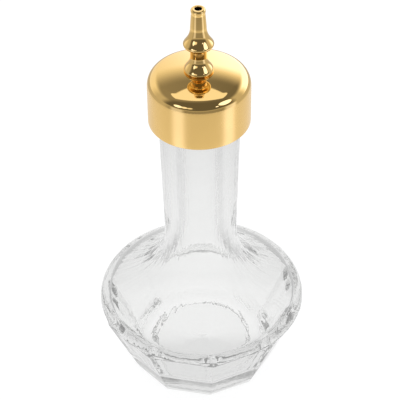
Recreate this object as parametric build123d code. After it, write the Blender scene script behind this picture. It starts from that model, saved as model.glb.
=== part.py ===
from build123d import *
import math
import os

# Bitters bottle: a ten-sided glass bottle with a lift-off dasher top.
# Millimetres, +Z up, origin at the centre of the base, a facet corner towards -Y.

# Glass body, outside: leaning facets, a band to the widest circle, shoulder, neck and lip
facet_count = 10
base_corner_radius = 23.2
girdle_corner_radius = 33.15
facet_height = 23.4
facet_edge_rounding = 1.6
base_edge_radius = 0.9
band_height = 1.9
band_swell = 0.1
shoulder_height = 30.0
shoulder_start_share = 0.32
shoulder_end_share = 0.79
neck_foot_radius = 11.4
neck_top_radius = 12.6
neck_length = 52.4
lip_swell = 0.4
lip_height = 5.5
lip_edge_radius = 1.1
lip_root_height = 0.8

# Glass body, inside, and the push-up under the base
wall_thickness = 4.4
floor_thickness = 7.5
floor_corner_radius = 4.5
cavity_edge_rounding = 7.0
cavity_shoulder_height = 36.0
cavity_start_share = 0.1
cavity_end_share = 0.8
neck_bore_radius = 5.3
mouth_edge_radius = 0.4
bearing_width = 5.5
punt_depth = 1.0
punt_draft = 1.2

# Gasket, plug and the soft rings in its grooves
seal_gap = 0.05
gasket_thickness = 0.8
gasket_setback = 1.5
gasket_hole_clearance = 0.15
flange_setback = 1.0
flange_thickness = 2.0
flange_edge_radius = 0.4
plug_clearance = 0.25
plug_bore_clearance = 0.06
plug_end_chamfer = 0.5
ring_count = 3
ring_section_radius = 0.75
ring_bore_clearance = 0.06
ring_groove_clearance = 0.03
mouth_land = 0.77
ring_land = 0.49
end_land = 0.57

# Metal cap and the plastic liner pressed into it
turning_gap = 0.05
liner_top_thickness = 3.09
liner_clearance = 0.05
liner_sleeve_wall = 0.9
liner_sleeve_rise = 1.5
skirt_room = 0.75
skirt_height = 12.8
skirt_lip_radius = 0.35
cap_wall = 0.8
cap_edge_radius = 4.0
dome_radius = 60.0
stem_hole_clearance = 0.1

# Turned spout: ball foot, waist, bell, slim tube and beaded tip, from the seat upwards
spout_bore_radius = 1.1
spout_seat_margin = 0.3
spout_foot_radius = 4.2
spout_foot_height = 0.45
spout_ball_radius = 4.5
spout_ball_height = 4.75
spout_ball_low_share = 0.253
spout_ball_high_share = 0.505
spout_waist_radius = 2.48
spout_waist_height = 2.0
spout_bell_radius = 4.57
spout_bell_under_height = 2.26
spout_bell_under_low_share = 0.62
spout_bell_under_high_share = 0.53
spout_bell_over_height = 5.74
spout_bell_over_low_share = 0.14
spout_bell_over_high_share = 0.627
spout_tube_root_radius = 2.45
spout_tube_tip_radius = 2.1
spout_tube_height = 4.9
spout_bead_radius = 2.22
spout_bead_height = 1.3
spout_bead_top_radius = 1.8

# Stem under the spout, its washer and its nut
stem_wall = 1.2
stem_end_length = 0.4
washer_setback = 0.75
washer_thickness = 0.6
washer_hole_clearance = 0.08
nut_wall = 1.3
nut_height = 2.0
nut_chamfer = 0.35
nut_thread_clearance = 0.02

# How far a cut runs past the face that it opens
overrun = 2.0

# Places on the bottle that follow from the sizes above
corner_step = 2 * math.pi / facet_count
half_step = corner_step / 2
facet_lean = (girdle_corner_radius - base_corner_radius) / facet_height
widest_radius = girdle_corner_radius + band_swell
widest_height = facet_height + band_height
neck_foot_height = widest_height + shoulder_height
bore_foot_height = widest_height + cavity_shoulder_height
bottle_height = neck_foot_height + neck_length
lip_radius = neck_top_radius + lip_swell
punt_radius = base_corner_radius * math.cos(half_step) - bearing_width

# Places on the plug
plug_radius = neck_bore_radius - plug_clearance
groove_width = 2 * (ring_section_radius + ring_groove_clearance)
ring_pitch = groove_width + ring_land
plug_depth = mouth_land + ring_count * groove_width + (ring_count - 1) * ring_land + end_land
plug_end = bottle_height - plug_depth
ring_centre_radius = neck_bore_radius - ring_bore_clearance - ring_section_radius
gasket_base = bottle_height + seal_gap
flange_base = gasket_base + gasket_thickness
flange_top = flange_base + flange_thickness
flange_radius = lip_radius - flange_setback

# Places on the cap: its seat rests on the liner, and the skirt hangs from the edge
liner_base = flange_top + turning_gap
liner_radius = lip_radius + skirt_room + liner_sleeve_wall
cap_radius = liner_radius + liner_clearance + cap_wall
seat_radius = spout_foot_radius + spout_seat_margin
seat_height = liner_base + liner_top_thickness + liner_clearance + cap_wall
dome_centre = seat_height - math.sqrt(dome_radius ** 2 - seat_radius ** 2)
edge_centre_radius = cap_radius - cap_edge_radius
dome_slope = math.asin(edge_centre_radius / (dome_radius - cap_edge_radius))
skirt_top = dome_centre + (dome_radius - cap_edge_radius) * math.cos(dome_slope)
cap_base = skirt_top - skirt_height

# Places on the stem
stem_radius = spout_bore_radius + stem_wall
stem_hole_radius = stem_radius + stem_hole_clearance
washer_base = plug_end - turning_gap - washer_thickness
nut_base = washer_base - nut_height
stem_end = nut_base - stem_end_length

# Cylinders and discs are placed by the middle of their lower face
on_base = (Align.CENTER, Align.CENTER, Align.MIN)


def corner_point(radius, angle, height):
    """A point at a radius and an angle from the -Y direction."""
    return (radius * math.sin(angle), -radius * math.cos(angle), height)


def rounded_ring(corner_radius, rounding, height):
    """A regular polygon whose corners are rounded by arcs, and the angle at which the arcs end."""
    apothem = corner_radius * math.cos(half_step)
    half_side = corner_radius * math.sin(half_step) - rounding * math.tan(half_step)
    tangent_radius = math.hypot(apothem, half_side)
    tangent_angle = half_step - math.atan2(half_side, apothem)
    arc_top = (apothem - rounding) / math.cos(half_step) + rounding
    edges = []
    for k in range(facet_count):
        corner = k * corner_step
        before = corner_point(tangent_radius, corner - tangent_angle, height)
        middle = corner_point(arc_top, corner, height)
        after = corner_point(tangent_radius, corner + tangent_angle, height)
        following = corner_point(tangent_radius, corner + corner_step - tangent_angle, height)
        edges.append(ThreePointArc(before, middle, after))
        edges.append(Line(after, following))
    return Face(Wire(edges)), tangent_angle


def round_ring(radius, tangent_angle, height):
    """A circle broken into arcs at the same angles as a rounded polygon."""
    edges = []
    for k in range(facet_count):
        corner = k * corner_step
        before = corner_point(radius, corner - tangent_angle, height)
        middle = corner_point(radius, corner, height)
        after = corner_point(radius, corner + tangent_angle, height)
        side_middle = corner_point(radius, corner + half_step, height)
        following = corner_point(radius, corner + corner_step - tangent_angle, height)
        edges.append(ThreePointArc(before, middle, after))
        edges.append(ThreePointArc(after, side_middle, following))
    return Face(Wire(edges))


def faceted_cup(low_radius, low_height, high_radius, high_height, rounding, top_radius, top_height):
    """Flat facets that lean outwards, then a band that turns the polygon into a circle."""
    low, _ = rounded_ring(low_radius, rounding, low_height)
    high, tangent_angle = rounded_ring(high_radius, rounding, high_height)
    circle = round_ring(top_radius, tangent_angle, top_height)
    return loft([low, high], ruled=True) + loft([high, circle], ruled=True)


def at(radius, height):
    """A point of an outline in the XZ plane."""
    return (radius, 0, height)


def arc_about(centre_radius, centre_height, radius, start, end):
    """An arc in the XZ plane, its angles measured from +X towards +Z."""
    points = []
    for angle in (start, (start + end) / 2, end):
        points.append(at(centre_radius + radius * math.cos(angle), centre_height + radius * math.sin(angle)))
    return ThreePointArc(*points)


def upright_curve(low_radius, low_height, high_radius, high_height, low_share, high_share):
    """A curve that leaves both its ends straight up, each pull a share of its rise."""
    rise = high_height - low_height
    return Bezier(
        at(low_radius, low_height),
        at(low_radius, low_height + low_share * rise),
        at(high_radius, high_height - high_share * rise),
        at(high_radius, high_height),
    )


def turned(outline):
    """A solid of revolution about +Z from edges drawn in the XZ plane."""
    return revolve(Face(Wire(outline)), Axis.Z)


def bored_disc(radius, hole_radius, thickness, base):
    """A flat ring standing on a height."""
    return Pos(0, 0, base) * (
        Cylinder(radius, thickness, align=on_base) - Cylinder(hole_radius, thickness, align=on_base)
    )


def bottle_outside():
    """Facets, band, shoulder curve, tapered neck and the lip at the mouth."""
    body = faceted_cup(
        base_corner_radius, 0, girdle_corner_radius, facet_height,
        facet_edge_rounding, widest_radius, widest_height,
    )
    base_edges = body.edges().filter_by_position(Axis.Z, 0, 0)
    body = fillet(base_edges, base_edge_radius)
    lip_base = bottle_height - lip_height
    lip_root = lip_base - lip_root_height
    lip_side = bottle_height - lip_edge_radius
    lip_flat_radius = lip_radius - lip_edge_radius
    outline = [
        Line(at(0, widest_height), at(widest_radius, widest_height)),
        upright_curve(
            widest_radius, widest_height, neck_foot_radius, neck_foot_height,
            shoulder_start_share, shoulder_end_share,
        ),
        Line(at(neck_foot_radius, neck_foot_height), at(neck_top_radius, lip_root)),
        Line(at(neck_top_radius, lip_root), at(lip_radius, lip_base)),
        Line(at(lip_radius, lip_base), at(lip_radius, lip_side)),
        arc_about(lip_flat_radius, lip_side, lip_edge_radius, 0, math.pi / 2),
        Line(at(lip_flat_radius, bottle_height), at(0, bottle_height)),
        Line(at(0, bottle_height), at(0, widest_height)),
    ]
    return body + turned(outline)


def bottle_cavity():
    """The room inside: a rounded ten-sided bowl, the shoulder above it and the neck bore."""
    high_radius = girdle_corner_radius - wall_thickness / math.cos(half_step)
    low_radius = high_radius - facet_lean * (facet_height - floor_thickness)
    round_radius = widest_radius - wall_thickness
    bowl = faceted_cup(
        low_radius, floor_thickness, high_radius, facet_height,
        cavity_edge_rounding, round_radius, widest_height,
    )
    floor_edges = bowl.edges().filter_by_position(Axis.Z, floor_thickness, floor_thickness)
    bowl = fillet(floor_edges, floor_corner_radius)
    mouth_round = bottle_height - mouth_edge_radius
    mouth_radius = neck_bore_radius + mouth_edge_radius
    cut_top = bottle_height + overrun
    outline = [
        Line(at(0, widest_height), at(round_radius, widest_height)),
        upright_curve(
            round_radius, widest_height, neck_bore_radius, bore_foot_height,
            cavity_start_share, cavity_end_share,
        ),
        Line(at(neck_bore_radius, bore_foot_height), at(neck_bore_radius, mouth_round)),
        arc_about(mouth_radius, mouth_round, mouth_edge_radius, math.pi, math.pi / 2),
        Line(at(mouth_radius, bottle_height), at(mouth_radius, cut_top)),
        Line(at(mouth_radius, cut_top), at(0, cut_top)),
        Line(at(0, cut_top), at(0, widest_height)),
    ]
    return bowl + turned(outline)


def glass_bottle():
    """The moulded bottle: the outside less the cavity and less the push-up under the base."""
    punt = Cone(punt_radius, punt_radius - punt_draft, punt_depth, align=on_base)
    return bottle_outside() - bottle_cavity() - punt


def cap_profile(inset, low_height):
    """Skirt side, rounded edge, dome and flat seat of the cap, moved inwards by an inset."""
    side = cap_radius - inset
    dome = dome_radius - inset
    seat_level = seat_height - inset
    edge_angle = math.pi / 2 - dome_slope
    seat_angle = math.asin((seat_level - dome_centre) / dome)
    return [
        Line(at(side, low_height), at(side, skirt_top)),
        arc_about(edge_centre_radius, skirt_top, cap_edge_radius - inset, 0, edge_angle),
        arc_about(0, dome_centre, dome, edge_angle, seat_angle),
        Line(at(dome * math.cos(seat_angle), seat_level), at(stem_hole_radius, seat_level)),
    ]


def cap_shell():
    """The spun metal cup: straight skirt, rounded edge, low dome with a flat seat and a hole."""
    lip_centre_radius = cap_radius - skirt_lip_radius
    lip_centre = cap_base + skirt_lip_radius
    outline = cap_profile(0, lip_centre) + cap_profile(cap_wall, cap_base) + [
        Line(at(stem_hole_radius, seat_height), at(stem_hole_radius, seat_height - cap_wall)),
        Line(at(cap_radius - cap_wall, cap_base), at(lip_centre_radius, cap_base)),
        arc_about(lip_centre_radius, lip_centre, skirt_lip_radius, -math.pi / 2, 0),
    ]
    return turned(outline)


def cap_liner():
    """The plastic cup pressed into the cap: it fills the dome and lines the skirt."""
    inset = cap_wall + liner_clearance
    sleeve_inside = liner_radius - liner_sleeve_wall
    sleeve_base = cap_base + liner_sleeve_rise
    outline = cap_profile(inset, sleeve_base) + [
        Line(at(stem_hole_radius, seat_height - inset), at(stem_hole_radius, liner_base)),
        Line(at(stem_hole_radius, liner_base), at(sleeve_inside, liner_base)),
        Line(at(sleeve_inside, liner_base), at(sleeve_inside, sleeve_base)),
        Line(at(sleeve_inside, sleeve_base), at(liner_radius, sleeve_base)),
    ]
    return turned(outline)


def dasher_spout():
    """The turned spout: ball foot, waist, bell, slim tube with a beaded tip, and the stem below."""
    ball = seat_height + spout_foot_height
    waist = ball + spout_ball_height
    bell_foot = waist + spout_waist_height
    bell = bell_foot + spout_bell_under_height
    tube_root = bell + spout_bell_over_height
    bead = tube_root + spout_tube_height
    tip = bead + spout_bead_height
    outline = [
        Line(at(stem_radius, seat_height), at(spout_foot_radius, seat_height)),
        Bezier(
            at(spout_foot_radius, seat_height),
            at(spout_ball_radius, seat_height),
            at(spout_ball_radius, ball),
        ),
        upright_curve(
            spout_ball_radius, ball, spout_waist_radius, waist,
            spout_ball_low_share, spout_ball_high_share,
        ),
        Line(at(spout_waist_radius, waist), at(spout_waist_radius, bell_foot)),
        upright_curve(
            spout_waist_radius, bell_foot, spout_bell_radius, bell,
            spout_bell_under_low_share, spout_bell_under_high_share,
        ),
        upright_curve(
            spout_bell_radius, bell, spout_tube_root_radius, tube_root,
            spout_bell_over_low_share, spout_bell_over_high_share,
        ),
        Line(at(spout_tube_root_radius, tube_root), at(spout_tube_tip_radius, bead)),
        ThreePointArc(
            at(spout_tube_tip_radius, bead),
            at(spout_bead_radius, (bead + tip) / 2),
            at(spout_bead_top_radius, tip),
        ),
        Line(at(spout_bead_top_radius, tip), at(spout_bore_radius, tip)),
        Line(at(spout_bore_radius, tip), at(spout_bore_radius, stem_end)),
        Line(at(spout_bore_radius, stem_end), at(stem_radius, stem_end)),
        Line(at(stem_radius, stem_end), at(stem_radius, seat_height)),
    ]
    return turned(outline)


def sealing_gasket():
    """The flat ring between the glass lip and the plug's flange."""
    outer_radius = lip_radius - gasket_setback
    return bored_disc(outer_radius, plug_radius + gasket_hole_clearance, gasket_thickness, gasket_base)


def ring_heights():
    """Heights of the sealing rings, from the mouth downwards."""
    first_height = bottle_height - mouth_land - groove_width / 2
    return [first_height - k * ring_pitch for k in range(ring_count)]


def stopper_plug():
    """The plug: a flange on the lip, a grooved barrel in the neck and a bore for the stem."""
    barrel = Pos(0, 0, plug_end) * Cylinder(plug_radius, flange_base - plug_end, align=on_base)
    barrel = chamfer(barrel.edges().sort_by(Axis.Z)[0], plug_end_chamfer)
    flange = Pos(0, 0, flange_base) * Cylinder(flange_radius, flange_thickness, align=on_base)
    flange = fillet(flange.edges().filter_by(GeomType.CIRCLE), flange_edge_radius)
    bore_radius = stem_radius + plug_bore_clearance
    bore = Pos(0, 0, plug_end) * Cylinder(bore_radius, flange_top - plug_end, align=on_base)
    plug = barrel + flange - bore
    groove_floor = ring_centre_radius - groove_width / 2
    groove = Cylinder(plug_radius + overrun, groove_width) - Cylinder(groove_floor, groove_width)
    for height in ring_heights():
        plug -= Pos(0, 0, height) * groove
    return plug


def sealing_rings():
    """The soft rings that grip the neck bore, each in its groove."""
    ring = Torus(ring_centre_radius, ring_section_radius)
    return Compound(children=[Pos(0, 0, height) * ring for height in ring_heights()])


def stem_washer():
    """The thin washer under the plug."""
    radius = plug_radius - washer_setback
    return bored_disc(radius, stem_radius + washer_hole_clearance, washer_thickness, washer_base)


def stem_nut():
    """The hexagon nut on the stem's end that holds the top together."""
    half_flats = stem_radius + nut_wall
    corner_radius = half_flats / math.cos(math.pi / 6)
    prism = extrude(RegularPolygon(corner_radius, 6), nut_height)
    rounding = Cylinder(corner_radius, nut_height, align=on_base)
    rounding = chamfer(rounding.edges().filter_by(GeomType.CIRCLE), nut_chamfer)
    bore = Cylinder(stem_radius + nut_thread_clearance, nut_height, align=on_base)
    return Pos(0, 0, nut_base) * (prism & rounding - bore)


pieces = {
    "glass_bottle": glass_bottle,
    "cap_shell": cap_shell,
    "cap_liner": cap_liner,
    "dasher_spout": dasher_spout,
    "sealing_gasket": sealing_gasket,
    "stopper_plug": stopper_plug,
    "sealing_rings": sealing_rings,
    "stem_washer": stem_washer,
    "stem_nut": stem_nut,
}

os.makedirs("parts", exist_ok=True)
for name, make_piece in pieces.items():
    export_step(make_piece(), f"parts/{name}.step")
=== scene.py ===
"""A bitters bottle: ten-sided clear glass, a gold dasher top and the plug that seals it."""

import math

import bmesh
import bpy
import numpy as np
from mathutils import Matrix, Vector


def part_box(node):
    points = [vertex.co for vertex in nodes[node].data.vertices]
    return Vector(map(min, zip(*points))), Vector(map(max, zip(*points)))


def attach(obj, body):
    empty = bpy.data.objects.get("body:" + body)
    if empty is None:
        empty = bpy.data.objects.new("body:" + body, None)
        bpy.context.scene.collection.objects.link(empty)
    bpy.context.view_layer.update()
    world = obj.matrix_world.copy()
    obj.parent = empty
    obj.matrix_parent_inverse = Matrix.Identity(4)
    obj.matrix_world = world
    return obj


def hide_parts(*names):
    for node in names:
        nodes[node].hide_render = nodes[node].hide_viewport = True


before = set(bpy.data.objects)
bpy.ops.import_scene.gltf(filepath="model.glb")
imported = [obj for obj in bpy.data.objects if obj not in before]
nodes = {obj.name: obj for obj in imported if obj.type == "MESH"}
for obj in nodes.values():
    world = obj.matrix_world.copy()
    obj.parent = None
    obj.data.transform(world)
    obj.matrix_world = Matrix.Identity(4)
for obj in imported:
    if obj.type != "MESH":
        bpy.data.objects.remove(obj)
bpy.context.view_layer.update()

MM = 0.001


def box_mm(node):
    """A node's outer radius, lowest and highest heights in millimetres."""
    low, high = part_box(node)
    return high.x / MM, low.z / MM, high.z / MM


# Sizes read from the frame, in millimetres
widest_radius, _, mouth_height = box_mm("glass_bottle")
cap_radius, cap_base, seat_height = box_mm("cap_shell")
bell_radius, stem_end, tip_height = box_mm("dasher_spout")

# Glass, outside. A run is the length of straight outline before or after an edge
FACETS = 10
HALF_FACET = math.pi / FACETS
band_spread = 0.1
girdle_radius = widest_radius - band_spread
girdle_height = 23.4
girdle_round = 1.0
base_corner_radius = 23.2
facet_edge_round = 1.6
base_edge_round = 0.9
base_run = 3.0
band_height = 1.9
band_lean = 0.02
shoulder_height = 30.0
shoulder_low_share = 0.32
shoulder_high_share = 0.79
neck_foot_radius = 11.4
neck_top_radius = 12.6
neck_top_round = 0.5
lip_radius = 13.0
lip_height = 5.5
lip_root_height = 0.8
lip_root_round = 0.4
lip_edge_round = 1.1
punt_radius = 16.54
punt_depth = 1.0
punt_slope = 1.2
punt_run = 3.0
punt_top_round = 0.5
punt_foot_round = 0.3
bearing_width = 1.5

# Glass, inside
wall = 4.4
floor = 7.5
floor_round = 4.5
floor_run = 8.0
floor_plate_share = 0.8
cavity_edge_round = 7.0
cavity_rise = 36.0
cavity_low_share = 0.10
cavity_high_share = 0.80
bore_radius = 5.3
mouth_round = 0.4
mouth_run = 3.0

# Glass, worked out: the apothems of the ten-sided rings and the heights where the forms meet
base_apothem = base_corner_radius * math.cos(HALF_FACET)
girdle_apothem = girdle_radius * math.cos(HALF_FACET)
facet_lean = (girdle_apothem - base_apothem) / girdle_height
inside_apothem = girdle_apothem - wall
floor_apothem = inside_apothem - facet_lean * (girdle_height - floor)
widest_height = girdle_height + band_height
neck_foot = widest_height + shoulder_height
lip_base = mouth_height - lip_height
neck_root = lip_base - lip_root_height
bore_foot = widest_height + cavity_rise

# Cap
skirt_top = cap_base + 12.8
cap_edge_round = 4.0
dome_radius = 60.0
cap_wall = 0.8
cap_lip_run = 2.0
cap_lip_round = 0.35
cap_lip_inner_round = 0.2
seat_radius = 4.5
stem_hole_radius = 2.4
stem_hole_round = 0.1

# Spout: rises from form to form, radii, edge roundings, and how upright each curve starts and ends
ball_height = 0.45
waist_rise = 4.75
waist_length = 2.0
bell_rise = 2.26
tube_root_rise = 5.74
tube_length = 4.9
waist_radius = 2.48
tube_root_radius = 2.45
tube_tip_radius = 2.1
bead_radius = 2.2
bead_rise = 0.25
bead_length = 1.0
rim_radius = 1.85
outlet_radius = 1.1
outlet_run = 1.0
stem_radius = 2.3
stem_root_run = 0.5
ball_foot_round = 0.4
bead_rounds = (0.3, 0.5)
rim_rounds = (0.3, 0.15)
stem_end_rounds = (0.1, 0.3)
ball_shares = (0.253, 0.505)
waist_shares = (0.62, 0.53)
bell_shares = (0.14, 0.627)

# Grid densities: columns on a flat and on a rounded corner, columns of a turned piece, and rows
FLAT_STEPS = np.array([-0.97, -0.85, -0.55, -0.2, 0.2, 0.55, 0.85, 0.97])
ARC_STEPS = np.linspace(-1, 1, 9)
LATHE_COLUMNS = 192
CURVE_ROWS = 40
SHOULDER_ROWS = 60
DOME_ROWS = 24
EDGE_ROWS = 8
FACET_SHARES = np.linspace(0.02, 0.98, 12)[:, None]
BAND_SHARES = np.linspace(0, 1, 14)[1:-1]

# Tolerances: a turn that counts as straight, in radians, points that lie together, in metres, and
# the turn from which an edge of a CAD piece stays crisp
STRAIGHT = 1e-4
SAME_POINT = 1e-7
SAME_CAD_POINT = 1e-6
CRISP_EDGE = math.radians(30)


def line(start, end, steps=2):
    """Points (r, z) spaced evenly on a straight run."""
    t = np.linspace(0, 1, steps)[:, None]
    return (1 - t) * np.array(start) + t * np.array(end)


def upright_curve(low, high, low_share, high_share, steps=CURVE_ROWS):
    """Points of a cubic curve with upright ends: (1-t)^3 P0 + 3(1-t)^2 t P1 + 3(1-t) t^2 P2
    + t^3 P3, with P1 above P0 by low_share of the rise and P2 below P3 by high_share of it."""
    t = np.linspace(0, 1, steps)[:, None]
    p0, p3 = np.array(low), np.array(high)
    rise = p3[1] - p0[1]
    p1 = p0 + [0, low_share * rise]
    p2 = p3 - [0, high_share * rise]
    start = (1 - t) ** 3 * p0 + 3 * (1 - t) ** 2 * t * p1
    return start + 3 * (1 - t) * t ** 2 * p2 + t ** 3 * p3


def arc(centre, radius, start, end, steps):
    """Points centre + radius (cos a, sin a) with a from start to end, in degrees."""
    a = np.radians(np.linspace(start, end, steps))[:, None]
    return np.array(centre) + radius * np.hstack([np.cos(a), np.sin(a)])


def rounded(corners, radii, steps):
    """An outline through corners, each corner replaced by an arc of its radius: the arc touches
    both sides at radius * tan(half the turn) from the corner, and a radius of zero keeps it."""
    points = [np.array(corners[0], float)]
    for before, corner, after, radius in zip(corners, corners[1:], corners[2:], radii[1:]):
        before, corner, after = (np.array(p, float) for p in (before, corner, after))
        into = (corner - before) / np.linalg.norm(corner - before)
        out = (after - corner) / np.linalg.norm(after - corner)
        turn = math.acos(np.clip(into @ out, -1, 1))
        if radius == 0 or turn < STRAIGHT:
            points.append(corner)
            continue
        inward = (out - into) / np.linalg.norm(out - into)
        centre = corner + inward * radius / math.cos(turn / 2)
        side = (into + out) / np.linalg.norm(into + out)
        for spread in np.linspace(-turn / 2, turn / 2, steps):
            points.append(centre + radius * (-inward * math.cos(spread) + side * math.sin(spread)))
    points.append(np.array(corners[-1], float))
    return np.array(points)


def grid_mesh(name, x, y, z, closed=False):
    """A mesh from a grid of points: rows run along the outline and columns round the axis, the
    last column joins the first, each end row is a single point, and closed joins the last row
    to the first."""
    rows, columns = x.shape
    points = np.stack([x, y, z], -1).reshape(-1, 3) * MM
    row = np.arange(rows if closed else rows - 1)[:, None] * columns
    following = (row + columns) % (rows * columns)
    column = np.arange(columns)[None, :]
    neighbour = (column + 1) % columns
    faces = np.stack(
        [row + column, row + neighbour, following + neighbour, following + column], -1
    )
    mesh = bpy.data.meshes.new(name)
    mesh.from_pydata(points.tolist(), [], faces.reshape(-1, 4).tolist())
    mesh.polygons.foreach_set("use_smooth", np.ones(len(mesh.polygons), bool))
    piece = bpy.data.objects.new(name, mesh)
    bpy.context.scene.collection.objects.link(piece)
    clean_mesh(mesh)
    return piece


def clean_mesh(mesh):
    """Merges the points that lie together, so that poles and seams close, and turns faces out."""
    work = bmesh.new()
    work.from_mesh(mesh)
    bmesh.ops.remove_doubles(work, verts=work.verts, dist=SAME_POINT)
    bmesh.ops.recalc_face_normals(work, faces=work.faces)
    work.to_mesh(mesh)
    work.free()


def lathe(name, outline):
    """A turned surface: (r, z) of a closed outline at angle t gives (r sin t, -r cos t, z)."""
    t = np.linspace(0, 2 * np.pi, LATHE_COLUMNS, endpoint=False)[None, :]
    r, z = outline[:, :1], outline[:, 1:]
    return grid_mesh(name, r * np.sin(t), -r * np.cos(t), z + 0 * t, closed=True)


def polygon_points(apothem, rounding):
    """Columns round a ten-sided ring with rounded corners. On a side the point lies at the
    apothem, and w half sides along it; at a corner it is c + rounding (cos, sin), with c at
    (apothem - rounding) / cos(18 degrees) towards the corner. Rows may have their own sizes."""
    half_side = (apothem - rounding) * math.tan(HALF_FACET)
    corner_centre = (apothem - rounding) / math.cos(HALF_FACET)
    xs, ys = [], []
    for k in range(FACETS):
        corner = 2 * k * HALF_FACET
        turn = ARC_STEPS[None, :] * HALF_FACET
        xs.append(corner_centre * math.sin(corner) + rounding * np.sin(corner + turn))
        ys.append(-corner_centre * math.cos(corner) - rounding * np.cos(corner + turn))
        side = corner + HALF_FACET
        along = FLAT_STEPS[None, :] * half_side
        xs.append(apothem * math.sin(side) + along * math.cos(side))
        ys.append(-apothem * math.cos(side) + along * math.sin(side))
    return np.hstack(xs), np.hstack(ys)


def polygon_rows(outline, rounding):
    """Rows of ten-sided rings, whose apothems and heights are the outline's (r, z)."""
    x, y = polygon_points(outline[:, :1], rounding)
    return x, y, outline[:, 1:] + 0 * x


def round_rows(outline):
    """Rows of circles (r sin t, -r cos t, z), with t the angles of the girdle ring's points."""
    guide_x, guide_y = polygon_points(np.array([[girdle_apothem]]), facet_edge_round)
    t = np.arctan2(guide_x, -guide_y)
    r, z = outline[:, :1], outline[:, 1:]
    return r * np.sin(t), -r * np.cos(t), z + 0 * t


def blended_rows(heights, apothem, rounding, radius, roundness):
    """Rows that go from a ten-sided ring to a circle: (1 - b) ring + b circle, with b the row's
    roundness."""
    b = roundness[:, None]
    ring = polygon_rows(np.column_stack([0 * heights + apothem, heights]), rounding)
    circle = round_rows(np.column_stack([0 * heights + radius, heights]))
    return tuple((1 - b) * start + b * end for start, end in zip(ring, circle))


def outer_sections():
    """The outside of the glass: from the middle of the push-up under the base, over the ring that
    the bottle stands on, the leaning facets, the band that turns them into a circle, the
    shoulder's cubic curve and the straight neck, to the lip and into the mouth."""
    punt_flat = punt_radius - punt_run
    push_up = line((0, punt_depth), (punt_flat, punt_depth), steps=8)
    bearing = rounded(
        [(punt_flat, punt_depth), (punt_radius - punt_slope, punt_depth),
         (punt_radius, 0), (punt_radius + bearing_width, 0)],
        [0, punt_top_round, punt_foot_round, 0], steps=6,
    )

    # The facets: an edge arc at each end and straight rows between the two
    facets = rounded(
        [(base_apothem - base_run, 0), (base_apothem, 0), (girdle_apothem, girdle_height),
         (girdle_apothem + band_lean, girdle_height + 1)],
        [0, base_edge_round, girdle_round, 0], steps=EDGE_ROWS,
    )[:-1]
    below, above = facets[:EDGE_ROWS + 1], facets[EDGE_ROWS + 1:]
    between = (1 - FACET_SHARES) * below[-1] + FACET_SHARES * above[0]
    facets = np.vstack([below, between, above])

    girdle_edge, girdle_top = facets[-1]
    band_heights = girdle_top + BAND_SHARES * (widest_height - girdle_top)
    band = blended_rows(band_heights, girdle_edge, facet_edge_round, widest_radius, BAND_SHARES)
    shoulder = upright_curve(
        (widest_radius, widest_height), (neck_foot_radius, neck_foot),
        shoulder_low_share, shoulder_high_share, SHOULDER_ROWS,
    )
    neck = line((neck_foot_radius, neck_foot), (neck_top_radius, neck_root), steps=24)[1:-1]
    lip = rounded(
        [neck[-1], (neck_top_radius, neck_root), (lip_radius, lip_base),
         (lip_radius, mouth_height), (bore_radius, mouth_height),
         (bore_radius, mouth_height - mouth_run)],
        [0, neck_top_round, lip_root_round, lip_edge_round, mouth_round, 0], steps=7,
    )[1:]
    return [
        round_rows(push_up[:-1]), round_rows(bearing), polygon_rows(facets, facet_edge_round),
        band, round_rows(shoulder), round_rows(neck), round_rows(lip),
    ]


def inner_sections():
    """The inside of the glass: down the bore, along the cavity's cubic shoulder curve and the band
    that turns the circle into a rounded ten-sided well, to the middle of the floor."""
    bore = line(
        (bore_radius, mouth_height - mouth_run), (bore_radius, bore_foot), steps=30
    )[1:-1]
    ceiling = upright_curve(
        (widest_radius - wall, widest_height), (bore_radius, bore_foot),
        cavity_low_share, cavity_high_share, SHOULDER_ROWS,
    )[::-1]
    band = blended_rows(
        widest_height - BAND_SHARES * band_height, inside_apothem, cavity_edge_round,
        widest_radius - wall, 1 - BAND_SHARES,
    )
    floor_edge = floor_apothem - floor_run
    well = rounded(
        [(inside_apothem, girdle_height), (floor_apothem, floor), (floor_edge, floor)],
        [0, floor_round, 0], steps=12,
    )
    well = np.vstack([line(well[0], well[1], steps=12)[:-1], well[1:]])
    floor_plate = line((floor_edge * floor_plate_share, floor), (0, floor), steps=8)
    return [
        round_rows(bore), round_rows(ceiling), band, polygon_rows(well, cavity_edge_round),
        round_rows(floor_plate),
    ]


def glass_surface():
    """The whole skin of the glass as one closed grid: the rows outside, then the rows inside."""
    sections = outer_sections() + inner_sections()
    x, y, z = (np.vstack([section[i] for section in sections]) for i in range(3))
    return grid_mesh("bottle_glass", x, y, z)


def dome_points(inset):
    """The cap from the skirt's top to the seat, moved inwards: an edge arc, then the dome's."""
    edge_centre = cap_radius - cap_edge_round
    slope = math.asin(edge_centre / (dome_radius - cap_edge_round))
    centre = seat_height - math.sqrt(dome_radius ** 2 - seat_radius ** 2)
    dome = dome_radius - inset
    seat_angle = math.degrees(math.asin((seat_height - inset - centre) / dome))
    edge_angle = 90 - math.degrees(slope)
    edge = arc((edge_centre, skirt_top), cap_edge_round - inset, 0, edge_angle, DOME_ROWS)
    top = arc((0, centre), dome, edge_angle, seat_angle, DOME_ROWS)
    return np.vstack([edge, top[1:]])


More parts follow.
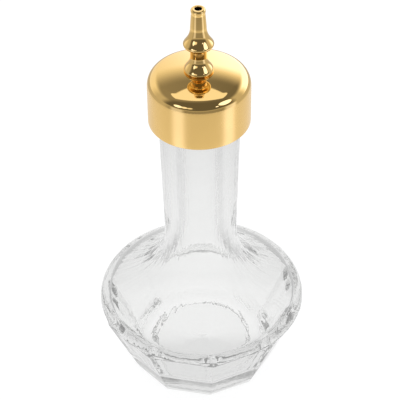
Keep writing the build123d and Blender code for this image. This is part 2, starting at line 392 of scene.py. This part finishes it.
def cap_surface():
    """The spun cup: lip, skirt, rounded edge and dome outside, the same less the wall inside."""
    outside = dome_points(0)
    inside = dome_points(cap_wall)
    inner_radius = cap_radius - cap_wall
    lip_top = cap_base + cap_lip_run
    lip = rounded(
        [(inner_radius, lip_top), (inner_radius, cap_base), (cap_radius, cap_base),
         (cap_radius, lip_top)],
        [0, cap_lip_inner_round, cap_lip_round, 0], steps=7,
    )
    seat = rounded(
        [outside[-1], (stem_hole_radius, seat_height),
         (stem_hole_radius, seat_height - cap_wall), inside[-1]],
        [0, stem_hole_round, stem_hole_round, 0], steps=4,
    )[1:-1]
    skirt = line((cap_radius, lip_top), (cap_radius, skirt_top), steps=14)[1:-1]
    return lathe("cap_shell_spun", np.vstack([lip, skirt, outside, seat, inside[::-1]]))


def spout_surface():
    """The turned spout: cubic curves with upright ends joined into ball, waist, bell and tube,
    then the bead, the bore and the stem."""
    ball = seat_height + ball_height
    waist = ball + waist_rise
    bell_foot = waist + waist_length
    bell = bell_foot + bell_rise
    tube_root = bell + tube_root_rise
    bead = tube_root + tube_length
    outlet = tip_height - outlet_run
    stem_root = seat_height - stem_root_run
    foot = rounded(
        [(stem_radius, stem_root), (stem_radius, seat_height), (seat_radius, seat_height),
         (seat_radius, ball)],
        [0, 0, ball_foot_round, 0], steps=8,
    )[:-1]
    body = [
        upright_curve((seat_radius, ball), (waist_radius, waist), *ball_shares),
        upright_curve((waist_radius, bell_foot), (bell_radius, bell), *waist_shares, steps=24),
        upright_curve((bell_radius, bell), (tube_root_radius, tube_root), *bell_shares)[1:],
        line((tube_root_radius, tube_root), (tube_tip_radius, bead), steps=10)[1:],
    ]
    rim = rounded(
        [(tube_tip_radius, bead), (bead_radius, bead + bead_rise),
         (bead_radius, bead + bead_length), (rim_radius, tip_height),
         (outlet_radius, tip_height), (outlet_radius, outlet)],
        [0, *bead_rounds, *rim_rounds, 0], steps=6,
    )[1:]
    stem = rounded(
        [(outlet_radius, outlet), (outlet_radius, stem_end), (stem_radius, stem_end),
         (stem_radius, stem_root)],
        [0, *stem_end_rounds, 0], steps=4,
    )[1:-1]
    return lathe("spout_turned", np.vstack([foot, *body, rim, stem]))


# Colours of the glass surface, of the inside of thick glass, and of the gold plate
CLEAR = (0.973, 0.975, 0.972)
THICK_GLASS = (0.90, 0.90, 0.898)
GOLD = (0.86, 0.57, 0.20)

# Depths of the marks in the glass surface, in millimetres
STREAK_DEPTH = 0.12
RIPPLE_DEPTH = 0.09
FINE_DEPTH = 0.008
STIPPLE_DEPTH = 0.15

# How close the marks lie: streaks round and up the bottle, ripples and stipple in all directions
STREAKS_ROUND = 7.0
STREAKS_UP = 60.0
RIPPLE_SCALE = 200.0
FINE_SCALE = 900.0
STIPPLE_SCALE = 1500.0

# The stippled ring fades out between these distances from the push-up's edge, and these heights
STIPPLE_WIDTH = (1.0 * MM, 1.6 * MM)
STIPPLE_HEIGHT = (1.5 * MM, 2.0 * MM)

# A ray reflected inside the glass more often than TRAPPED_AFTER meets TRAPPED_LIGHT at each turn.
# Of the light that goes through d metres of glass exp(-(1 - THICK_GLASS) * ABSORPTION * d) is left.
TRAPPED_AFTER = 3.5
TRAPPED_LIGHT = 0.20
ABSORPTION = 50.0

# Roughness of each gold finish from its most to its least polished place, the drift of the other
# finishes, and the part of a cloudy pattern over which it goes from one to the other
POLISHED = (0.03, 0.07)
BRUSHED = (0.26, 0.30)
ROUGHNESS_DRIFT = 0.06
WIDE_CLOUD = (0.3, 0.8)
CLOUD = (0.3, 0.7)

# Grain of the plain finishes: how close it lies, and its depth in millimetres
GRAIN_SCALE = 400.0
GRAIN_DEPTH = 0.03


def new_material(name, **settings):
    """A material with a Principled shader whose sockets are set by name."""
    material = bpy.data.materials.new(name)
    material.use_nodes = True
    shader = material.node_tree.nodes["Principled BSDF"]
    for socket, value in settings.items():
        shader.inputs[socket.replace("_", " ")].default_value = value
    return material, shader


class Graph:
    """Short calls for adding shader nodes to one node tree."""

    def __init__(self, tree):
        self.tree = tree

    def add(self, kind, settings=None, **inputs):
        """Adds a node, sets its own settings and its inputs, and returns it."""
        node = self.tree.nodes.new("ShaderNode" + kind)
        for key, value in (settings or {}).items():
            setattr(node, key, value)
        for key, value in inputs.items():
            self.feed(node.inputs[key.replace("_", " ")], value)
        return node

    def feed(self, socket, value):
        """Links an output to a socket, or sets the socket's value."""
        if isinstance(value, bpy.types.NodeSocket):
            self.tree.links.new(value, socket)
        else:
            socket.default_value = value

    def maths(self, operation, *values):
        """One Math node with its inputs in order."""
        node = self.add("Math", {"operation": operation})
        for socket, value in zip(node.inputs, values):
            self.feed(socket, value)
        return node.outputs[0]

    def times(self, first, second):
        """The product of two values."""
        return self.maths("MULTIPLY", first, second)

    def ramp(self, value, low, high, start=0.0, end=1.0):
        """A smooth step of the value from start, at low, to end, at high."""
        node = self.add("MapRange", {"interpolation_type": "SMOOTHSTEP"})
        for socket, number in zip(node.inputs, (value, low, high, start, end)):
            self.feed(socket, number)
        return node.outputs[0]

    def blend(self, share, low, high):
        """low where the share is 0 and high where it is 1."""
        node = self.add("Mix", {"data_type": "FLOAT"})
        for socket, value in zip((node.inputs[0], *node.inputs[2:4]), (share, low, high)):
            self.feed(socket, value)
        return node.outputs[0]

    def length(self, vector):
        """The length of a vector."""
        node = self.add("VectorMath", {"operation": "LENGTH"})
        self.feed(node.inputs[0], vector)
        return node.outputs["Value"]

    def noise(self, place, scale, detail):
        """A cloudy pattern between 0 and 1."""
        return self.add("TexNoise", Vector=place, Scale=scale, Detail=detail).outputs["Fac"]

    def place(self):
        """The place on the object."""
        return self.add("TexCoord").outputs["Object"]


def polished_material():
    """Polished gold plate with a slow change in its polish."""
    material, shader = new_material("polished_gold", Base_Color=(*GOLD, 1), Metallic=1.0)
    graph = Graph(material.node_tree)
    cloud = graph.noise(graph.place(), scale=160.0, detail=3.0)
    graph.feed(shader.inputs["Roughness"], graph.ramp(cloud, *WIDE_CLOUD, *POLISHED))
    return material


def brushed_material():
    """Satin gold whose fine marks run round the skirt, so that lights stretch up and down it."""
    material, shader = new_material(
        "brushed_gold", Base_Color=(*GOLD, 1), Metallic=1.0, Anisotropic=0.75,
        Anisotropic_Rotation=0.25,
    )
    graph = Graph(material.node_tree)
    cloud = graph.noise(graph.place(), scale=90.0, detail=3.0)
    graph.feed(shader.inputs["Roughness"], graph.ramp(cloud, *CLOUD, *BRUSHED))
    tangent = graph.add("Tangent", {"direction_type": "RADIAL", "axis": "Z"})
    graph.feed(shader.inputs["Tangent"], tangent.outputs[0])
    return material


def glass_marks(graph):
    """The height of the glass surface: a stippled ring under the base, long soft streaks up and
    down the bottle, and a slow and a fine ripple."""
    place = graph.place()
    parts = graph.add("SeparateXYZ", Vector=place).outputs
    flat = graph.add("CombineXYZ", X=parts["X"], Y=parts["Y"]).outputs[0]
    outward = graph.add("VectorMath", {"operation": "NORMALIZE"})
    graph.feed(outward.inputs[0], flat)
    around = graph.add("SeparateXYZ", Vector=outward.outputs[0]).outputs
    unrolled = graph.add(
        "CombineXYZ", X=graph.times(around["X"], STREAKS_ROUND),
        Y=graph.times(around["Y"], STREAKS_ROUND), Z=graph.times(parts["Z"], STREAKS_UP),
    ).outputs[0]
    streaks = graph.noise(unrolled, scale=1.0, detail=2.0)
    slow = graph.noise(place, scale=RIPPLE_SCALE, detail=2.0)
    fine = graph.noise(place, scale=FINE_SCALE, detail=2.0)

    from_edge = graph.maths("SUBTRACT", graph.length(flat), punt_radius * MM)
    ring = graph.ramp(graph.maths("ABSOLUTE", from_edge), *STIPPLE_WIDTH, 1.0, 0.0)
    low = graph.ramp(parts["Z"], *STIPPLE_HEIGHT, 1.0, 0.0)
    stipple = graph.add("TexVoronoi", Vector=place, Scale=STIPPLE_SCALE).outputs["Distance"]
    height = graph.times(graph.times(ring, low), graph.times(stipple, STIPPLE_DEPTH))
    for marks, depth in ((streaks, STREAK_DEPTH), (slow, RIPPLE_DEPTH), (fine, FINE_DEPTH)):
        height = graph.maths("MULTIPLY_ADD", marks, depth, height)
    return height


def glass_material():
    """Clear moulded glass with soft marks in its surface, which swallows a little light."""
    material, shader = new_material(
        "clear_glass", Base_Color=(*CLEAR, 1), Roughness=0.0, IOR=1.5, Transmission_Weight=1.0,
    )
    graph = Graph(material.node_tree)
    bump = graph.add("Bump", Strength=1.0, Distance=MM, Height=glass_marks(graph))
    graph.feed(shader.inputs["Normal"], bump.outputs["Normal"])

    # A ray that is reflected inside the glass many times meets a little light at each turn, in
    # place of what is lost when the renderer stops following it
    turns = graph.add("LightPath").outputs["Glossy Depth"]
    trapped = graph.maths("GREATER_THAN", turns, TRAPPED_AFTER)
    graph.feed(shader.inputs["Emission Strength"], graph.times(trapped, TRAPPED_LIGHT))

    # Long ways through the glass look grey
    body = graph.add("VolumeAbsorption", Color=(*THICK_GLASS, 1), Density=ABSORPTION)
    output = material.node_tree.nodes["Material Output"]
    graph.feed(output.inputs["Volume"], body.outputs["Volume"])
    return material


def plain_material(name, colour, roughness, metallic=0.0):
    """A moulded or machined finish: a fine grain in its bump and a slow drift of its roughness."""
    material, shader = new_material(
        name, Base_Color=(*colour, 1), Roughness=roughness, Metallic=metallic
    )
    graph = Graph(material.node_tree)
    place = graph.place()
    grain = graph.noise(place, scale=GRAIN_SCALE, detail=4.0)
    cloud = graph.noise(place, scale=60.0, detail=2.0)
    drift = (roughness - ROUGHNESS_DRIFT, roughness + ROUGHNESS_DRIFT)
    graph.feed(shader.inputs["Roughness"], graph.ramp(cloud, *CLOUD, *drift))
    bump = graph.add("Bump", Strength=0.3, Distance=GRAIN_DEPTH * MM, Height=grain)
    graph.feed(shader.inputs["Normal"], bump.outputs["Normal"])
    return material


def dress(piece, materials, body, slot, *replaced):
    """Gives a piece its materials and its body, and hides the nodes it stands for. The slot is not
    used.
    """
    piece.data.materials.clear()
    for material in materials:
        piece.data.materials.append(material)
    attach(piece, body)
    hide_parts(*replaced)


def brush(cap):
    """Puts the second material on the faces of the skirt's outside, up to just over its top."""
    least_reach = cap_radius - 0.1
    brushed_top = skirt_top + 0.5
    for face in cap.data.polygons:
        reach = math.hypot(face.center.x, face.center.y) / MM
        face.material_index = int(reach > least_reach and face.center.z / MM < brushed_top)


def smooth_copy(node):
    """A merged copy of a CAD node whose soft turns are smooth and whose edges stay crisp."""
    mesh = nodes[node].data.copy()
    piece = bpy.data.objects.new(node + "_finished", mesh)
    bpy.context.scene.collection.objects.link(piece)
    work = bmesh.new()
    work.from_mesh(mesh)
    bmesh.ops.remove_doubles(work, verts=work.verts, dist=SAME_CAD_POINT)
    for face in work.faces:
        face.smooth = True
    for edge in work.edges:
        edge.smooth = edge.calc_face_angle(0.0) < CRISP_EDGE
    work.to_mesh(mesh)
    work.free()
    return piece


# Camera, from the fit of the photograph's outline
SENSOR_WIDTH = 36.0
CAMERA_PIXELS = 1560.0
FRAME_PIXELS = 400.0
CAMERA_AZIMUTH = math.radians(-6.0)
CAMERA_ELEVATION = math.radians(40.0)
CAMERA_DISTANCE = 0.4902
CAMERA_AIM = 0.06472
CAMERA_ROLL = math.radians(-0.68)
CAMERA_SHIFT_PIXELS = 0.413


def make_camera():
    """The camera on its azimuth and elevation, aimed at the axis and rolled a little."""
    camera = bpy.data.cameras.new("camera")
    holder = bpy.data.objects.new("camera", camera)
    bpy.context.scene.collection.objects.link(holder)
    camera.sensor_width = SENSOR_WIDTH
    camera.lens = SENSOR_WIDTH * CAMERA_PIXELS / FRAME_PIXELS
    camera.shift_x = -CAMERA_SHIFT_PIXELS / FRAME_PIXELS
    flat = CAMERA_DISTANCE * math.cos(CAMERA_ELEVATION)
    place = Vector((
        flat * math.sin(CAMERA_AZIMUTH), -flat * math.cos(CAMERA_AZIMUTH),
        CAMERA_AIM + CAMERA_DISTANCE * math.sin(CAMERA_ELEVATION),
    ))
    aim = (Vector((0, 0, CAMERA_AIM)) - place).to_track_quat("-Z", "Y").to_matrix().to_4x4()
    holder.matrix_world = Matrix.Translation(place) @ aim @ Matrix.Rotation(CAMERA_ROLL, 4, "Z")
    bpy.context.scene.camera = holder


# In what follows a pair of numbers is where a soft step starts and ends, or its two levels.
# Distances are in metres from the axis. Forward is 1 towards the camera and -1 behind the bottle.

# The floor: its size, its colour under scattered light, its level to the camera, and the share of
# its own light in what is seen of it, with what is added to that share through the glass
FLOOR_RADIUS = 3.0
FLOOR_COLUMNS = 96
FLOOR_COLOUR = (0.88, 0.88, 0.88)
CAMERA_FLOOR = 1.12
OWN_LIGHT = 0.8
OWN_LIGHT_THROUGH = 0.15

# The floor that the gold mirrors: dimmer far away, and more so in front
FAR = (0.17, 0.30)
FAR_FORWARD = (0.2, 0.6)
FAR_DIMMING = (0.45, 0.8)

# The two strips that the skirt mirrors: how far they are turned to the right of the camera, their
# outer and inner edges as cosines of the angle from there, and their levels from left to right
STRIPS_TURN = math.radians(10.0)
STRIP_OUTSIDE = (0.28, 0.44)
STRIP_INSIDE = (0.66, 0.80)
STRIP_SIDES = (-0.5, 0.5)
STRIP_LEVELS = (0.62, 0.68)

# The floor that the glass shows: dimmer beyond the bottle, at its sides and under its front
FLOOR_THROUGH = 0.99
BEYOND = (0.05, 0.24)
BEYOND_FORWARD = (-0.7, 0.7)
BEYOND_DIMMING = (0.32, 0.10)
UNDER = (0.03, 0.05)
UNDER_FORWARD = (-0.4, 0.4)
UNDER_CHANGE = (0.03, -0.14)
SIDES = (0.045, 0.065)
SIDES_FORWARD = (0.30, 0.85)
SIDES_THROUGH = 0.12

# How much green and blue the brightest lights in the gold gain, on the floor and in the studio
COOL_FLOOR = (0.12, 0.70)
COOL_STUDIO = (0.12, 0.60)


def cooled(graph, share, green, blue):
    """White where the share is 0, with green and blue raised by these amounts where it is 1."""
    return graph.add(
        "CombineColor", Red=1.0, Green=graph.maths("MULTIPLY_ADD", share, green, 1.0),
        Blue=graph.maths("MULTIPLY_ADD", share, blue, 1.0),
    ).outputs[0]


def seen_through_glass(graph, ray):
    """1 for a ray that has passed through the glass or was mirrored by its sharp surface."""
    passed = graph.maths("GREATER_THAN", ray["Transmission Depth"], 0.5)
    return graph.maths("MAXIMUM", passed, ray["Is Singular Ray"])


def turned_with_camera(graph, source):
    """Coordinates turned about +Z so that the camera is towards -Y."""
    place = graph.add("TexCoord").outputs[source]
    turned = graph.add("Mapping", {"vector_type": "POINT"}, Vector=place)
    turned.inputs["Rotation"].default_value = (0, 0, -CAMERA_AZIMUTH)
    return turned.outputs[0]


def mirrored_floor(graph, distance, forward, right):
    """The floor's level as the gold mirrors it, and its bright strips alone."""
    share = graph.ramp(forward, *FAR_FORWARD, *FAR_DIMMING)
    dimming = graph.times(graph.ramp(distance, *FAR), share)
    aside = graph.times(forward, math.cos(STRIPS_TURN))
    aside = graph.maths("MULTIPLY_ADD", right, math.sin(STRIPS_TURN), aside)
    inside = graph.ramp(aside, *STRIP_INSIDE, 1.0, 0.0)
    strip = graph.times(graph.ramp(aside, *STRIP_OUTSIDE), inside)
    strip = graph.times(strip, graph.ramp(right, *STRIP_SIDES, *STRIP_LEVELS))
    return graph.maths("ADD", graph.maths("SUBTRACT", 1.0, dimming), strip), strip


def refracted_floor(graph, distance, forward):
    """The floor's level as the glass shows it."""
    share = graph.ramp(forward, *BEYOND_FORWARD, *BEYOND_DIMMING)
    beyond = graph.times(graph.ramp(distance, *BEYOND), share)
    level = graph.maths("SUBTRACT", FLOOR_THROUGH, beyond)
    near = graph.ramp(distance, *UNDER, 1.0, 0.0)
    change = graph.ramp(forward, *UNDER_FORWARD, *UNDER_CHANGE)
    level = graph.maths("ADD", level, graph.times(near, change))
    sideways = graph.maths("ABSOLUTE", forward)
    sideways = graph.ramp(sideways, *SIDES_FORWARD, SIDES_THROUGH, 0.0)
    return graph.maths("SUBTRACT", level, graph.times(sideways, graph.ramp(distance, *SIDES)))


def make_floor():
    """A pale round floor: white with a faint shadow to the camera, a plain pale surface to
    scattered light, and dimmer in places in the gold and through the glass."""
    angles = np.linspace(0, 2 * np.pi, FLOOR_COLUMNS, endpoint=False)
    rim = FLOOR_RADIUS * np.column_stack([np.cos(angles), np.sin(angles), 0 * angles])
    mesh = bpy.data.meshes.new("floor")
    mesh.from_pydata(rim.tolist(), [], [list(range(FLOOR_COLUMNS))])
    surface = bpy.data.objects.new("floor", mesh)
    bpy.context.scene.collection.objects.link(surface)
    material = bpy.data.materials.new("pale_floor")
    material.use_nodes = True
    tree = material.node_tree
    tree.nodes.clear()
    graph = Graph(tree)
    ray = graph.add("LightPath").outputs
    place = turned_with_camera(graph, "Object")
    distance = graph.length(place)
    parts = graph.add("SeparateXYZ", Vector=place).outputs
    forward = graph.maths("DIVIDE", graph.times(parts["Y"], -1.0), distance)
    right = graph.maths("DIVIDE", parts["X"], distance)
    mirrored, strip = mirrored_floor(graph, distance, forward, right)
    refracted = refracted_floor(graph, distance, forward)

    through = seen_through_glass(graph, ray)
    elsewhere = graph.maths("MAXIMUM", through, ray["Is Camera Ray"])
    cool = graph.times(strip, graph.maths("SUBTRACT", 1.0, elsewhere))
    level = graph.blend(through, mirrored, refracted)
    level = graph.blend(ray["Is Camera Ray"], level, CAMERA_FLOOR)
    shaded = graph.add("BsdfDiffuse", Color=(*FLOOR_COLOUR, 1))
    bright = graph.add("Emission", Color=cooled(graph, cool, *COOL_FLOOR), Strength=level)
    seen = graph.maths("SUBTRACT", 1.0, ray["Is Diffuse Ray"])
    own_light = graph.maths("MULTIPLY_ADD", through, OWN_LIGHT_THROUGH, OWN_LIGHT)
    mixed = graph.add("MixShader", Fac=graph.times(seen, own_light))
    graph.feed(mixed.inputs[1], shaded.outputs[0])
    graph.feed(mixed.inputs[2], bright.outputs[0])
    output = graph.add("OutputMaterial")
    graph.feed(output.inputs["Surface"], mixed.outputs[0])
    mesh.materials.append(material)


# The studio that the gold mirrors, in directions x to the right, y away from the camera and z up:
# the level of its side walls, the back wall from left to right, the ceiling and the dark front
SIDE_WALLS = 0.65
BACK = (0.1, 0.6)
BACK_ACROSS = (-0.3, 0.3)
BACK_LEVELS = (1.1, 1.8)
CEILING = (0.46, 0.72)
CEILING_ACROSS = (-0.4, 0.4)
CEILING_LEVELS = (0.33, 0.20)
FRONT = (-0.05, -0.40)
FRONT_UP = (-0.05, 0.12)
FRONT_LEVEL = 0.15

# The panel overhead: its lower edge at the middle and how fast that rises to the sides
PANEL_EDGE = 0.753
PANEL_RISE = 0.25
PANEL_SOFTNESS = (0.0, 0.012)
PANEL_START = (-0.03, 0.03)
PANEL_LEVEL = 1.18

# Side lights: azimuth and elevation in degrees, spread, level; and how soft their edges are
SIDE_LIGHTS = (
    (-20, 20, 0.09, 1.1), (-32, 20, 0.11, 1.3), (-46, 19, 0.14, 1.7), (60, 29, 0.22, 1.9),
    (38, 21, 0.05, 2.0),
)
LIGHT_EDGE = 1.2

# What the glass shows of the studio: the horizon, the low sky in front and behind, the high sky
HORIZON = 0.60
HORIZON_UP = (0.12, 0.26)
LOW_SKY = (-1.0, 0.7)
LOW_SKY_LEVELS = (0.8, 0.35)
HIGH_SKY = (-0.5, 0.5)
HIGH_SKY_LEVELS = (1.15, 0.75)
HIGH_SKY_UP = (0.3, 1.0)

# Between these levels a light in the gold turns cooler
COOL_LEVELS = (0.9, 1.8)


def mirrored_studio(graph, direction, x, y, z):
    """The studio's level as the gold mirrors it: a bright back wall, dimmer sides, a dark front, a
    dim ceiling, a panel overhead from behind to the zenith and five small side lights."""
    back = graph.ramp(x, *BACK_ACROSS, *BACK_LEVELS)
    level = graph.blend(graph.ramp(y, *BACK), SIDE_WALLS, back)
    ceiling = graph.ramp(x, *CEILING_ACROSS, *CEILING_LEVELS)
    level = graph.blend(graph.ramp(z, *CEILING), level, ceiling)
    front = graph.times(graph.ramp(y, *FRONT), graph.ramp(z, *FRONT_UP))
    level = graph.blend(front, level, FRONT_LEVEL)

    edge = graph.maths("MULTIPLY_ADD", graph.maths("ABSOLUTE", x), PANEL_RISE, PANEL_EDGE)
    above = graph.ramp(graph.maths("SUBTRACT", z, edge), *PANEL_SOFTNESS)
    panel = graph.times(above, graph.ramp(y, *PANEL_START))
    level = graph.blend(panel, level, PANEL_LEVEL)

    for azimuth, elevation, spread, strength in SIDE_LIGHTS:
        a, e = math.radians(azimuth), math.radians(elevation)
        off = graph.add("VectorMath", {"operation": "DISTANCE"})
        graph.feed(off.inputs[0], direction)
        off.inputs[1].default_value = (
            math.sin(a) * math.cos(e), -math.cos(a) * math.cos(e), math.sin(e)
        )
        lit = graph.ramp(off.outputs["Value"], spread, spread * LIGHT_EDGE, 1.0, 0.0)
        level = graph.blend(lit, level, strength)
    return level


def make_studio():
    """Surroundings as soft steps of the direction: one level in the gold, one that falls off from
    front to back through the glass, and plain white to the camera and to matt surfaces."""
    world = bpy.data.worlds.new("studio")
    bpy.context.scene.world = world
    world.use_nodes = True
    tree = world.node_tree
    tree.nodes.clear()
    graph = Graph(tree)
    direction = turned_with_camera(graph, "Generated")
    parts = graph.add("SeparateXYZ", Vector=direction).outputs
    x, y, z = parts["X"], parts["Y"], parts["Z"]
    mirrored = mirrored_studio(graph, direction, x, y, z)

    low = graph.ramp(y, *LOW_SKY, *LOW_SKY_LEVELS)
    low = graph.blend(graph.ramp(z, *HORIZON_UP), HORIZON, low)
    high = graph.ramp(y, *HIGH_SKY, *HIGH_SKY_LEVELS)
    refracted = graph.blend(graph.ramp(z, *HIGH_SKY_UP), low, high)

    ray = graph.add("LightPath").outputs
    through = seen_through_glass(graph, ray)
    level = graph.blend(through, mirrored, refracted)
    plain = graph.maths("MAXIMUM", ray["Is Camera Ray"], ray["Is Diffuse Ray"])

    # In the gold the brightest lights are a little cooler than the rest
    elsewhere = graph.maths("MAXIMUM", plain, through)
    gold_only = graph.maths("SUBTRACT", 1.0, elsewhere)
    cool = graph.times(graph.ramp(level, *COOL_LEVELS), gold_only)
    colour = cooled(graph, cool, *COOL_STUDIO)
    strength = graph.blend(plain, level, 1.0)
    background = graph.add("Background", Color=colour, Strength=strength)
    output = graph.add("OutputWorld")
    graph.feed(output.inputs["Surface"], background.outputs[0])


make_camera()
make_floor()
make_studio()

glass = glass_material()
polished_gold = polished_material()
brushed_gold = brushed_material()
liner_plastic = plain_material("liner_plastic", (0.82, 0.82, 0.79), roughness=0.45)
plug_plastic = plain_material("plug_plastic", (0.76, 0.77, 0.77), roughness=0.38)
soft_seal = plain_material("soft_seal", (0.70, 0.71, 0.72), roughness=0.5)
inner_metal = plain_material("inner_metal", (0.62, 0.48, 0.24), roughness=0.28, metallic=1.0)

dress(glass_surface(), [glass], "bottle", "clear_glass", "glass_bottle")
cap = cap_surface()
dress(cap, [polished_gold, brushed_gold], "metal_top", "gold_plate", "cap_shell")
brush(cap)
dress(spout_surface(), [polished_gold], "metal_top", "gold_plate", "dasher_spout")
dress(smooth_copy("cap_liner"), [liner_plastic], "metal_top", "liner_plastic", "cap_liner")
dress(smooth_copy("stem_washer"), [inner_metal], "metal_top", "inner_metal", "stem_washer")
dress(smooth_copy("stem_nut"), [inner_metal], "metal_top", "inner_metal", "stem_nut")
dress(smooth_copy("stopper_plug"), [plug_plastic], "stopper", "plug_plastic", "stopper_plug")
dress(smooth_copy("sealing_gasket"), [soft_seal], "stopper", "soft_seal", "sealing_gasket")
dress(smooth_copy("sealing_rings"), [soft_seal], "stopper", "soft_seal", "sealing_rings")

bpy.context.scene.view_settings.view_transform = "Standard"
